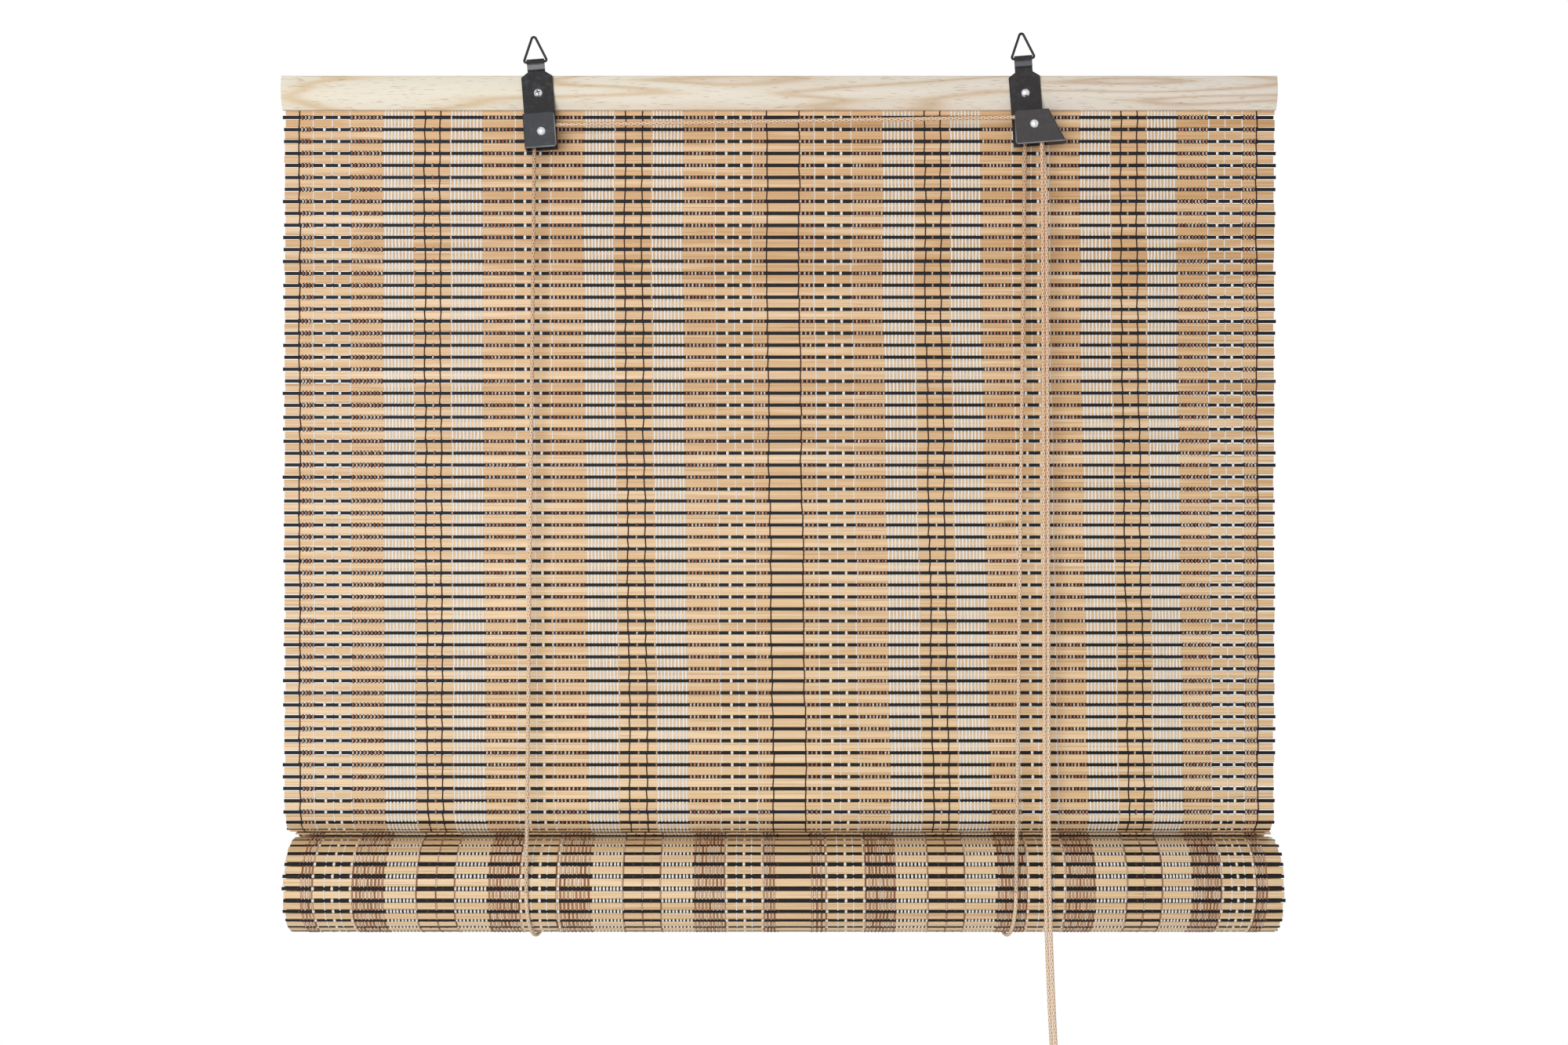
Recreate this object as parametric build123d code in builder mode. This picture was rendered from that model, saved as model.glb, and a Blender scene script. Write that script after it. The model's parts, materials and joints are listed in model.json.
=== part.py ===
"""Bamboo roll-up blind, held part way up by its cord lock.

Millimetres. +X is to the right seen from the front, +Y goes away from the viewer, +Z is up.
The origin lies level with, and midway between, the bearing points of the two hanging rings.
"""

import os
from math import acos, atan2, cos, degrees, hypot, pi, radians, sin, sqrt, tan

from build123d import *

os.makedirs("parts", exist_ok=True)

# Clearances
running_clearance = 0.08
moving_gap = 0.3

# Headrail, a planed wood moulding with a bowed front
blind_width = 800.0
headrail_height = 27.0
headrail_depth = 9.0
headrail_front_radius = 28.0
headrail_top_z = -29.9
headrail_bulge_drop = 10.8
headrail_edge_radius = 1.2

# Woven mat of wide slats and thin sticks, its thickness measured over the threads.
# The slats are fuller along their middle, so the gap beside each stick narrows there.
slat_height = 5.8
stick_height = 1.8
thread_gap = 1.04
middle_gap = 0.24
middle_left_x = -185.0
middle_right_x = 275.0
mat_thickness = 1.8
bar_thickness = 1.3
thread_thickness = 0.7
edge_thread_width = 1.6
mat_lap = 20.0
first_stick_drop = 5.0
stick_count = 58
seam_gap = 0.6

# Fold of the mat over the roll, and the roll
fold_radius = 22.0
fold_lead = 4.4
fold_bar_pairs = 8
roll_radius = 40.5
roll_turn_pitch = 4.0
roll_dip_share = 0.85
roll_core_radius = 18.0
roll_fine_slats = 26
roll_shift = 3.5
bottom_rail_thickness = 10.0
bottom_rail_edge_radius = 2.0

# Brackets, folded from sheet steel and screwed to the headrail's front
sheet = 1.2
bracket_tilt = 4.3
screw_z = -44.5
left_screw_x = -193.4
right_screw_x = 197.4
plate_width = 25.0
plate_shoulder = 13.0
neck_base = 16.8
neck_width = 14.0
left_neck_rise = 24.5
right_neck_rise = 27.3
knuckle_tail = 6.6
housing_gap = 11.0
bend_radius = 1.8
corner_radius = 2.4
left_cover_top = 19.0
left_cover_bottom = 46.3
left_cover_reach = 13.0
left_axle_u = 1.6
left_axle_drop = 33.4
lock_cover_top = 16.5
lock_cover_bottom = 43.0
lock_cover_inset = 1.2
lock_slant_top = 15.9
lock_slant_bottom = 27.8
lock_floor_start = 13.0
lock_axle_u = 3.4
lock_axle_drop = 27.6

# Hanging rings
ring_wire = 2.0
ring_corner_width = 19.1
ring_corner_height = 22.7
ring_corner_radius = 1.4
ring_apex_radius = 1.8

# Screws and axle rivets
head_diameter = 7.2
head_height = 2.0
screw_shank = 3.2
screw_length = 8.0
rivet_shank = 3.0
rivet_tail_diameter = 5.0
rivet_tail_height = 1.0

# Pulleys and the lock's toothed roller
cord_diameter = 3.0
pulley_cord_radius = 6.1
pulley_flange_radius = 7.4
groove_floor_share = 0.66
groove_width = 4.4
flange_rim = 0.5
pulley_hub_radius = 3.2
roller_diameter = 7.0
roller_teeth = 14
roller_tooth_depth = 0.5
roller_gap = 0.6

# Lift cords and their slings under the roll
sling_skew = 5.5
left_sling_x = -197.5
right_sling_x = 184.5
cord_seam = 0.2
back_cord_end_z = -38.0

# Pull cords below the lock, and the tied hank at their end
pull_cord_spread = 3.4
cord_arc_share = 0.45
hank_top_z = -838.0
hank_x = 219.0
hank_y = -11.0
hank_fold_radius = 9.0
hank_layers = 2
hank_turns = 5
hank_cord_pitch = 3.2
hank_run = 45.0
tie_width = 9.0
tie_thickness = 1.6

# Staples
staple_wire = 0.8
staple_crown = 10.0
staple_leg = 6.0
mat_staple_count = 8
mat_staple_drop = 16.0
staple_end_margin = 24.0
cord_staple_drop = 2.0

# Levels that follow from those sizes
cord_radius = cord_diameter / 2
plate_front_y = ring_wire / 2 + running_clearance
plate_back_y = plate_front_y + sheet
cover_back_y = plate_front_y - housing_gap
cover_front_y = cover_back_y - sheet
pulley_mid_y = plate_front_y - housing_gap / 2
mat_front_y = plate_back_y + headrail_depth
mat_mid_y = mat_front_y + mat_thickness / 2
mat_back_y = mat_front_y + mat_thickness
headrail_bottom_z = headrail_top_z - headrail_height
bar_pitch = slat_height + stick_height + 2 * thread_gap
half_bar_pitch = bar_pitch / 2
first_stick_z = headrail_bottom_z - first_stick_drop
mat_bottom_z = first_stick_z - (stick_count - 1) * bar_pitch - stick_height / 2
fold_centre_z = mat_bottom_z - seam_gap - fold_lead
roll_envelope = hypot(roll_radius, slat_height / 2)
fold_over_radius = roll_envelope + moving_gap + mat_thickness / 2
roll_y = mat_mid_y + fold_radius
roll_z = fold_centre_z - fold_radius - fold_over_radius
roll_mid_radius = roll_radius - mat_thickness / 2


def bracket_plane(screw_x):
    """Plane on a bracket's back: origin at its screw, local x across, y up and z to the viewer."""
    tilt = radians(bracket_tilt)
    return Plane(origin=(screw_x, plate_back_y, screw_z), x_dir=(cos(tilt), 0, sin(tilt)), z_dir=(0, -1, 0))


left_plane = bracket_plane(left_screw_x)
right_plane = bracket_plane(right_screw_x)


def axle_plane(plane, axle_u, axle_drop):
    """Plane square to a pulley's axle, halfway between a bracket's plate and its cover."""
    centre = plane.from_local_coords((axle_u, -axle_drop, sheet + housing_gap / 2))
    return Plane(origin=centre, x_dir=plane.x_dir, z_dir=plane.z_dir)


left_axle = axle_plane(left_plane, left_axle_u, left_axle_drop)
right_axle = axle_plane(right_plane, lock_axle_u, lock_axle_drop)


def finish(builder, label):
    builder.part.label = label
    export_step(builder.part, f"parts/{label}.step")


# Headrail: bowed front, flat back, pilot holes for the two bracket screws
def bow_depth(drop):
    rise = drop - headrail_bulge_drop
    return headrail_depth - headrail_front_radius + sqrt(headrail_front_radius**2 - rise**2)


with BuildPart() as headrail:
    with BuildSketch(Plane.YZ) as headrail_section:
        with BuildLine():
            top_front = (mat_front_y - bow_depth(0), headrail_top_z)
            bulge = (plate_back_y, headrail_top_z - headrail_bulge_drop)
            low_front = (mat_front_y - bow_depth(headrail_height), headrail_bottom_z)
            ThreePointArc(top_front, bulge, low_front)
            Polyline(low_front, (mat_front_y, headrail_bottom_z), (mat_front_y, headrail_top_z), top_front)
        make_face()
        fillet(headrail_section.vertices(), radius=headrail_edge_radius)
    extrude(amount=blind_width / 2, both=True)
    with Locations(left_plane, right_plane):
        Cylinder(screw_shank / 2, 2 * screw_length, mode=Mode.SUBTRACT)
finish(headrail, "headrail")


# Brackets: base plate with shoulders, neck and rolled knuckle, side wall and cover in one folded sheet
def is_bend(plane, edge, wall_ends):
    """True for the two long outer edges where a housing's wall turns into the plate and the cover."""
    start, end = wall_ends
    middle = plane.to_local_coords(edge @ 0.5)
    foot = (start + end) / 2
    at_wall = hypot(middle.X - foot.X, middle.Y - foot.Y) < sheet / 2
    return at_wall and abs(edge.length - (end - start).length) < sheet


def make_bracket(plane, axle, neck_rise, base_outline, cover_outline, wall_line, wall_reach, floor=()):
    half_neck = neck_width / 2
    wall_ends = [Vector(*point) for point in wall_line]
    with BuildPart() as bracket:
        with BuildSketch(plane):
            with BuildLine():
                left_edge = [(-half_neck, neck_rise), (-half_neck, neck_base), (-half_plate, plate_shoulder)]
                right_edge = [(half_plate, plate_shoulder), (half_neck, neck_base), (half_neck, neck_rise)]
                Polyline(*left_edge, *base_outline, *right_edge, close=True)
            make_face()
        extrude(amount=sheet)
        with BuildSketch(plane.offset(sheet + housing_gap)) as cover:
            with BuildLine():
                Polyline(*cover_outline, close=True)
            make_face()
            free_corners = [
                corner
                for corner in cover.vertices()
                if all(hypot(corner.X - end.X, corner.Y - end.Y) > sheet for end in wall_ends)
            ]
            fillet(free_corners, radius=corner_radius)
        extrude(amount=sheet)
        with BuildSketch(plane):
            with BuildLine():
                inward = Vector(wall_reach, 0)
                Polyline(*wall_ends, wall_ends[1] + inward, wall_ends[0] + inward, close=True)
            make_face()
        extrude(amount=housing_gap + 2 * sheet)
        bends = [edge for edge in bracket.edges() if is_bend(plane, edge, wall_ends)]
        fillet(bends, radius=bend_radius)
        if floor:
            with BuildSketch(plane):
                with BuildLine():
                    Polyline(*floor, close=True)
                make_face()
            extrude(amount=sheet + housing_gap)
        side = Plane(
            origin=plane.from_local_coords((-half_neck, neck_rise, 0)),
            x_dir=plane.y_dir,
            z_dir=plane.x_dir,
        )
        with BuildSketch(side):
            with Locations((0, plate_back_y)):
                Circle(ring_wire / 2 + running_clearance + sheet)
            with Locations((-knuckle_tail / 2, sheet)):
                Rectangle(knuckle_tail, 2 * sheet)
        extrude(amount=neck_width)
        with BuildSketch(side):
            with Locations((0, plate_back_y)):
                Circle(ring_wire / 2 + running_clearance)
        extrude(amount=neck_width, mode=Mode.SUBTRACT)
        with Locations(plane):
            Cylinder(screw_shank / 2, 4 * sheet, mode=Mode.SUBTRACT)
        with Locations(axle):
            Cylinder(rivet_shank / 2, 2 * housing_gap, mode=Mode.SUBTRACT)
    return bracket


half_plate = plate_width / 2
left_wall = [(-half_plate, -left_cover_top), (-half_plate, -left_cover_bottom)]
left_bracket = make_bracket(
    left_plane,
    left_axle,
    left_neck_rise,
    [*left_wall, (half_plate, -left_cover_bottom)],
    [*left_wall, (left_cover_reach, -left_cover_bottom), (left_cover_reach, -left_cover_top)],
    left_wall,
    sheet,
)
finish(left_bracket, "left_bracket")

slant_lean = atan2(lock_slant_bottom - lock_slant_top, lock_cover_bottom - lock_cover_top)
slant_reach = sheet / cos(slant_lean)
lock_floor_top = -lock_cover_bottom + sheet
lock_floor_end = lock_slant_bottom - slant_reach
lock_wall = [(lock_slant_top, -lock_cover_top), (lock_slant_bottom, -lock_cover_bottom)]
right_bracket = make_bracket(
    right_plane,
    right_axle,
    right_neck_rise,
    [(-half_plate, -lock_cover_bottom), lock_wall[1], lock_wall[0], (half_plate, -lock_cover_top)],
    [
        (-half_plate + lock_cover_inset, -lock_cover_top),
        (-half_plate, -lock_cover_bottom),
        lock_wall[1],
        lock_wall[0],
    ],
    lock_wall,
    -slant_reach,
    floor=[
        (lock_floor_start, -lock_cover_bottom),
        (lock_floor_end, -lock_cover_bottom),
        (lock_floor_end, lock_floor_top),
        (lock_floor_start, lock_floor_top),
    ],
)
finish(right_bracket, "right_bracket")


# Hanging rings: one bent and closed wire, its lower bar turning in the bracket's knuckle
def make_ring(plane, neck_rise):
    bar = plane.from_local_coords((0, neck_rise, plate_back_y))
    with BuildPart() as ring:
        with BuildLine(Plane(origin=bar, x_dir=plane.x_dir, z_dir=plane.z_dir)) as wire:
            half_ring = ring_corner_width / 2
            corners = [(half_ring, 0), (0, ring_corner_height), (-half_ring, 0)]
            radii = [ring_corner_radius, ring_apex_radius, ring_corner_radius]
            FilletPolyline(*corners, close=True, radius=radii)
        with BuildSketch(Plane(origin=wire.line @ 0, z_dir=wire.line % 0)):
            Circle(ring_wire / 2)
        sweep()
    return ring


left_ring = make_ring(left_plane, left_neck_rise)
finish(left_ring, "left_ring")
right_ring = make_ring(right_plane, right_neck_rise)
finish(right_ring, "right_ring")


# Round-head wood screws that hold the brackets, and the headed rivets that the pulleys turn on
def make_headed_pin(seat, shank_diameter, shank_length, tail=False):
    """Head on the seat plane and shank behind it; a tail head closes a rivet's far end."""
    section = Plane(origin=seat.origin, x_dir=seat.x_dir, z_dir=-seat.y_dir)
    with BuildPart() as pin:
        with BuildSketch(section):
            with BuildLine():
                crown_radius = (head_diameter**2 / 4 + head_height**2) / (2 * head_height)
                RadiusArc((head_diameter / 2, 0), (0, head_height), -crown_radius)
                Polyline((0, head_height), (0, 0), (head_diameter / 2, 0))
            make_face()
            with Locations((shank_diameter / 4, -shank_length / 2)):
                Rectangle(shank_diameter / 2, shank_length)
            if tail:
                with Locations((rivet_tail_diameter / 4, -shank_length - rivet_tail_height / 2)):
                    Rectangle(rivet_tail_diameter / 2, rivet_tail_height)
        revolve(axis=Axis(seat.origin, seat.z_dir))
    return pin


for side, plane, axle in (("left", left_plane, left_axle), ("right", right_plane, right_axle)):
    finish(make_headed_pin(plane.offset(sheet), screw_shank, sheet + screw_length), f"{side}_screw")
    rivet_seat = axle.offset(housing_gap / 2 + sheet)
    rivet_grip = housing_gap + 2 * sheet
    finish(make_headed_pin(rivet_seat, rivet_shank, rivet_grip, tail=True), f"{side}_axle_rivet")


# Grooved pulleys: one groove over the left cord, two side by side in the lock
pulley_width = housing_gap - 2 * moving_gap
groove_pitch = groove_width + flange_rim
groove_floor = pulley_cord_radius - cord_radius - moving_gap


def make_pulley(axle, grooves):
    bore = rivet_shank / 2 + running_clearance
    rim = grooves * groove_pitch + flange_rim
    with BuildPart() as pulley:
        with BuildSketch(Plane(origin=axle.origin, x_dir=axle.x_dir, z_dir=-axle.y_dir)):
            with Locations(((bore + pulley_hub_radius) / 2, 0)):
                Rectangle(pulley_hub_radius - bore, pulley_width)
            with Locations(((bore + pulley_flange_radius) / 2, 0)):
                Rectangle(pulley_flange_radius - bore, rim)
            for index in range(grooves):
                with BuildLine():
                    centre = (index - (grooves - 1) / 2) * groove_pitch
                    half_floor = groove_width * groove_floor_share / 2
                    Polyline(
                        (pulley_flange_radius, centre - groove_width / 2),
                        (groove_floor, centre - half_floor),
                        (groove_floor, centre + half_floor),
                        (pulley_flange_radius, centre + groove_width / 2),
                        close=True,
                    )
                make_face(mode=Mode.SUBTRACT)
        revolve(axis=Axis(axle.origin, axle.z_dir))
    return pulley


finish(make_pulley(left_axle, 1), "left_pulley")
finish(make_pulley(right_axle, 2), "right_pulley")

# Toothed roller that jams the pull cords against the lock's slanted wall
roller_radius = roller_diameter / 2
roller_u = lock_axle_u + pulley_cord_radius + cord_radius + roller_gap + roller_radius
roller_wall_u = roller_u + (roller_radius + moving_gap) / cos(slant_lean) + slant_reach
roller_v = -lock_cover_top - (roller_wall_u - lock_slant_top) / tan(slant_lean)
roller_length = housing_gap - 2 * moving_gap
tooth_angle = 2 * pi / roller_teeth
with BuildPart() as lock_roller:
    with BuildSketch(right_plane.offset(sheet + moving_gap)):
        with BuildLine():
            outline = []
            for index in range(2 * roller_teeth):
                angle = index * tooth_angle / 2
                reach = roller_radius - roller_tooth_depth * (index % 2)
                outline.append((roller_u + reach * cos(angle), roller_v + reach * sin(angle)))
            Polyline(*outline, close=True)
        make_face()
    extrude(amount=roller_length)
finish(lock_roller, "lock_roller")


# Hanging part of the mat: slats and sticks in one wall, parted by through gaps
mat_top_z = headrail_bottom_z + mat_lap
stick_levels = [first_stick_z - index * bar_pitch for index in range(stick_count)]
gap_reach = blind_width / 2 - edge_thread_width
gap_ends = [(-gap_reach, 0), (gap_reach, 0)]
slat_edge = [(gap_reach, thread_gap), (middle_right_x, middle_gap),
             (middle_left_x, middle_gap), (-gap_reach, thread_gap)]
with BuildPart() as mat:
    with BuildSketch(Plane.XZ.offset(-mat_mid_y)):
        with Locations((0, (mat_top_z + mat_bottom_z) / 2)):
            Rectangle(blind_width, mat_top_z - mat_bottom_z)
        with Locations(*[(0, level + stick_height / 2) for level in stick_levels]):
            Polygon(*gap_ends, *slat_edge, align=None, mode=Mode.SUBTRACT)
        turned_over = (180, 0, 0)
        gap_tops = [(0, level - stick_height / 2, 0) for level in stick_levels[:-1]]
        with Locations(*[Location(place, turned_over) for place in gap_tops]):
            Polygon(*gap_ends, *slat_edge, align=None, mode=Mode.SUBTRACT)
    extrude(amount=bar_thickness / 2, both=True)
finish(mat, "mat")


def bar_corners(middle, tangent, height, fine):
    """Front and back points of one flat bar across the mat, with the thread's step beside a fine one."""
    normal = Vector(-tangent.Y, tangent.X, 0)
    start = middle - tangent * (height / 2)
    end = middle + tangent * (height / 2)
    half = bar_thickness / 2
    front = [start - normal * half, end - normal * half]
    back = [start + normal * half, end + normal * half]
    if fine:
        step = thread_thickness / 2
        front = [start - normal * step, *front, end - normal * step]
        back = [start + normal * step, *back, end + normal * step]
    return front, back


def bars_outline(bars):
    """Closed outline of a run of bars: along the front sides, then back along the other sides."""
    fronts, backs = [], []
    for bar in bars:
        front, back = bar_corners(*bar)
        fronts += front
        backs += back
    return fronts + backs[::-1]


# Fold: the mat swings back from the hanging part and lies over the roll's top
fold_quarter = pi / 2 * fold_radius


def fold_point(travel):
    """Place and direction (y, z) of the mat's middle, this far along from the hanging part's end."""
    if travel < fold_lead:
        return Vector(mat_mid_y, fold_centre_z + fold_lead - travel), Vector(0, -1)
    if travel < fold_lead + fold_quarter:
        angle = (travel - fold_lead) / fold_radius
        place = Vector(roll_y - fold_radius * cos(angle), fold_centre_z - fold_radius * sin(angle))
        return place, Vector(sin(angle), -cos(angle))
    angle = (travel - fold_lead - fold_quarter) / fold_over_radius
    place = Vector(roll_y + fold_over_radius * sin(angle), roll_z + fold_over_radius * cos(angle))
    return place, Vector(cos(angle), -sin(angle))


fold_bars = []
for index in range(fold_bar_pairs):
    slat_place = slat_height / 2 + index * bar_pitch
    fold_bars.append((*fold_point(slat_place), slat_height, True))
    fold_bars.append((*fold_point(slat_place + half_bar_pitch), stick_height, True))
with BuildPart() as mat_fold:
    with BuildSketch(Plane.YZ):
        with BuildLine():
            Polyline(*bars_outline(fold_bars), close=True)
        make_face()
    extrude(amount=blind_width / 2, both=True)
finish(mat_fold, "mat_fold")


# Roll: the rest of the mat wound inwards from the top, over the back, under and up the front
def wound_radius(angle):
    """Radius of the mat's middle after winding by this angle: one full turn, then a spiral inside it."""
    turn = 2 * pi
    if angle < roll_dip_share * turn:
        return roll_mid_radius
    if angle < turn:
        dip = (angle / turn - roll_dip_share) / (1 - roll_dip_share)
        return roll_mid_radius - roll_turn_pitch * dip
    return roll_mid_radius - roll_turn_pitch * angle / turn


roll_bars = []
wound = 0
while wound_radius(wound) > roll_core_radius:
    fine = len(roll_bars) < 2 * roll_fine_slats
    bar_heights = (slat_height, stick_height) if fine else (slat_height,)
    for place, bar_height in enumerate(bar_heights):
        angle = wound + place * half_bar_pitch / wound_radius(wound)
        radius = wound_radius(angle)
        middle = Vector(roll_y + radius * sin(angle), roll_z + radius * cos(angle))
        roll_bars.append((middle, Vector(cos(angle), -sin(angle)), bar_height, fine))
    last_slat_angle = wound
    wound += bar_pitch / wound_radius(wound)
with BuildPart() as mat_roll:
    with BuildSketch(Plane.YZ.offset(roll_shift)):
        with BuildLine():
            Polyline(*bars_outline(roll_bars), close=True)
        make_face()
    extrude(amount=blind_width / 2, both=True)
finish(mat_roll, "mat_roll")

# Bottom rail: wood batten across the roll's core, its edge at the mat's inner end
rail_half = wound_radius(last_slat_angle) - bar_thickness / 2 - moving_gap
rail_turn = 90 - degrees(last_slat_angle)
with BuildPart() as bottom_rail:
    with BuildSketch(Plane(origin=(roll_shift, roll_y, roll_z), x_dir=(0, 1, 0), z_dir=(1, 0, 0))):
        RectangleRounded(2 * rail_half, bottom_rail_thickness, bottom_rail_edge_radius, rotation=rail_turn)
    extrude(amount=blind_width / 2, both=True)
finish(bottom_rail, "bottom_rail")


# Cords: straight and taut between what they run over, with arcs of that thing's size
def make_cord(label, points, radii=()):
    with BuildPart() as cord:
        with BuildLine() as route:
            if len(points) > 2:
                FilletPolyline(*points, radius=radii)
            else:
                Line(*points)
        path = route.wire()
        with BuildSketch(Plane(origin=path @ 0, z_dir=path % 0)):
            Circle(cord_radius)
        sweep(path=path)
    report_cord(label, cord, path.length, radii)
    finish(cord, label)


def report_cord(label, cord, length, radii):
    filled = cord.part.volume / (pi * cord_radius**2 * length)
    bends = " ".join(f"{radius:.1f}" for radius in radii)
    print(f"{label}: {length:.0f} mm long, volume share {filled:.4f}, bend radii {bends}")


def gentle_radii(points):
    """Largest arc at each corner of a hand-laid route that its shorter run allows."""
    radii = []
    for before, corner, after in zip(points, points[1:], points[2:]):
        run_in = Vector(*corner) - Vector(*before)
        run_out = Vector(*after) - Vector(*corner)
        half_turn = radians(run_in.get_angle(run_out)) / 2
        radii.append(cord_arc_share * min(run_in.length, run_out.length) / tan(half_turn))
    return radii


left_axle_x, left_axle_z = left_axle.origin.X, left_axle.origin.Z
right_axle_x, right_axle_z = right_axle.origin.X, right_axle.origin.Z
front_groove_y = pulley_mid_y - groove_pitch / 2
back_groove_y = pulley_mid_y + groove_pitch / 2
left_rise_x = left_axle_x - pulley_cord_radius
right_rise_x = right_axle_x - pulley_cord_radius
pull_x = right_axle_x + pulley_cord_radius
left_over_z = left_axle_z + pulley_cord_radius
right_over_z = right_axle_z + pulley_cord_radius

make_cord(
    "cross_cord",
    [
        (left_rise_x, pulley_mid_y, left_axle_z),
        (left_rise_x, pulley_mid_y, left_over_z),
        (pull_x, front_groove_y, right_over_z),
        (pull_x, front_groove_y, right_axle_z),
    ],
    [pulley_cord_radius - cord_seam, pulley_cord_radius - cord_seam],
)
make_cord(
    "right_pulley_cord",
    [
        (right_rise_x, back_groove_y, right_axle_z),
        (right_rise_x, back_groove_y, right_over_z),
        (pull_x, back_groove_y, right_over_z),
        (pull_x, back_groove_y, right_axle_z),
    ],
    [pulley_cord_radius - cord_seam, pulley_cord_radius - cord_seam],
)

# Slings: each lift cord passes under the roll and up its back to the headrail
lift_cords = (
    ("left", left_sling_x, sling_skew, (left_rise_x, pulley_mid_y, left_axle_z - cord_seam)),
    ("right", right_sling_x, -sling_skew, (right_rise_x, back_groove_y, right_axle_z - cord_seam)),
)
for side, sling_x, skew, rise in lift_cords:
    lean = radians(skew)
    sling_radius = (roll_envelope + moving_gap + cord_radius) / cos(lean)
    sling_plane = Plane(
        origin=(sling_x, roll_y, roll_z),
        x_dir=(sin(lean), cos(lean), 0),
        z_dir=(cos(lean), -sin(lean), 0),
    )
    end_reach = (mat_back_y + cord_radius + moving_gap - roll_y) / cos(lean)
    end_rise = back_cord_end_z - roll_z
    leave = degrees(atan2(end_rise, end_reach) - acos(sling_radius / hypot(end_reach, end_rise)))
    with BuildPart() as sling:
        with BuildLine(sling_plane) as route:
            CenterArc((0, 0), sling_radius, 180, 180 + leave)
        path = route.wire()
        with BuildSketch(Plane(origin=path @ 0, z_dir=path % 0)):
            Circle(cord_radius)
        sweep(path=path)
    report_cord(f"{side}_cord_sling", sling, path.length, [sling_radius])
    finish(sling, f"{side}_cord_sling")
    front = path @ 0
    make_cord(f"{side}_front_cord", [rise, (front.X, front.Y, front.Z + moving_gap)])
    leaving = path @ 1 + (path % 1) * moving_gap
    make_cord(f"{side}_back_cord", [leaving, sling_plane.from_local_coords((end_reach, end_rise, 0))])

# Pull cords: the two lift cords hang side by side from the lock, in front of the roll
half_spread = pull_cord_spread / 2
pull_end_z = hank_top_z + moving_gap
pull_routes = {
    "left_pull_cord": [
        (pull_x, front_groove_y, right_axle_z - cord_seam),
        (209.4, -7.4, -120.0),
        (210.6, -8.8, -400.0),
        (211.0, -10.2, -640.0),
        (212.2, -10.6, -715.0),
        (216.0, -10.9, -800.0),
        (hank_x - half_spread, hank_y, pull_end_z),
    ],
    "right_pull_cord": [
        (pull_x, back_groove_y, right_axle_z - cord_seam),
        (212.4, -5.4, -120.0),
        (214.0, -8.4, -400.0),
        (214.4, -10.2, -640.0),
        (215.6, -10.6, -715.0),
        (219.4, -10.9, -800.0),
        (hank_x + half_spread, hank_y, pull_end_z),
    ],
}
for label, points in pull_routes.items():
    make_cord(label, points, gentle_radii(points))

# Hanks: the pull cords' spare length, each folded into its own bundle and held by one tie
hank_end_radius = hank_fold_radius + (hank_layers - 1) * hank_cord_pitch + cord_radius
hank_depth = hank_turns * hank_cord_pitch
hank_mid_z = hank_top_z - hank_end_radius - hank_run / 2
for side, direction in (("left", -1), ("right", 1)):
    with BuildPart() as hank:
        with BuildSketch(Plane.YZ.offset(hank_x + direction * moving_gap / 2)):
            with Locations((hank_y, hank_mid_z)):
                SlotCenterToCenter(hank_run, 2 * hank_end_radius, rotation=90)
        extrude(amount=direction * hank_depth)
    finish(hank, f"{side}_cord_hank")
tie_inner_x = 2 * hank_depth + 2 * moving_gap
tie_inner_y = 2 * hank_end_radius + moving_gap
with BuildPart() as hank_tie:
    with BuildSketch(Plane.XY.offset(hank_mid_z - tie_width / 2)):
        with Locations((hank_x, hank_y)):
            Rectangle(tie_inner_x + 2 * tie_thickness, tie_inner_y + 2 * tie_thickness)
            Rectangle(tie_inner_x, tie_inner_y, mode=Mode.SUBTRACT)
    extrude(amount=tie_width)
finish(hank_tie, "hank_tie")


# Staples through the mat into the headrail's back, and one over each lift cord's end
def staple(crown, stand):
    """One wire staple at the current location: crown along x, this far off the mat's back."""
    leg_length = staple_leg + stand + staple_wire
    with Locations((0, 0, stand + staple_wire / 2)):
        Box(crown, staple_wire, staple_wire)
    for end in (-1, 1):
        with Locations((end * (crown - staple_wire) / 2, 0, stand + staple_wire - leg_length / 2)):
            Box(staple_wire, staple_wire, leg_length)


staple_span = blind_width - 2 * staple_end_margin
mat_back_plane = Plane(origin=(0, mat_back_y, 0), x_dir=(1, 0, 0), z_dir=(0, 1, 0))
with BuildPart() as mat_staples:
    for index in range(mat_staple_count):
        place_x = -staple_span / 2 + index * staple_span / (mat_staple_count - 1)
        place_z = headrail_top_z - mat_staple_drop
        with Locations(mat_back_plane.shift_origin((place_x, mat_back_y, place_z))):
            staple(staple_crown, 0)
finish(mat_staples, "mat_staples")
with BuildPart() as cord_staples:
    for _, sling_x, skew, _ in lift_cords:
        place_x = sling_x + (mat_back_y + cord_radius + moving_gap - roll_y) * tan(radians(skew))
        place_z = back_cord_end_z - cord_staple_drop
        with Locations(mat_back_plane.shift_origin((place_x, mat_back_y, place_z))):
            staple(cord_diameter + 2 * (moving_gap + staple_wire), cord_diameter + 2 * moving_gap)
finish(cord_staples, "cord_staples")
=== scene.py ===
"""Bamboo roll-up blind, hanging part way up on its two rings. All lengths in metres."""
import json
import math

import bmesh
import bpy
from mathutils import Matrix, Vector


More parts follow.
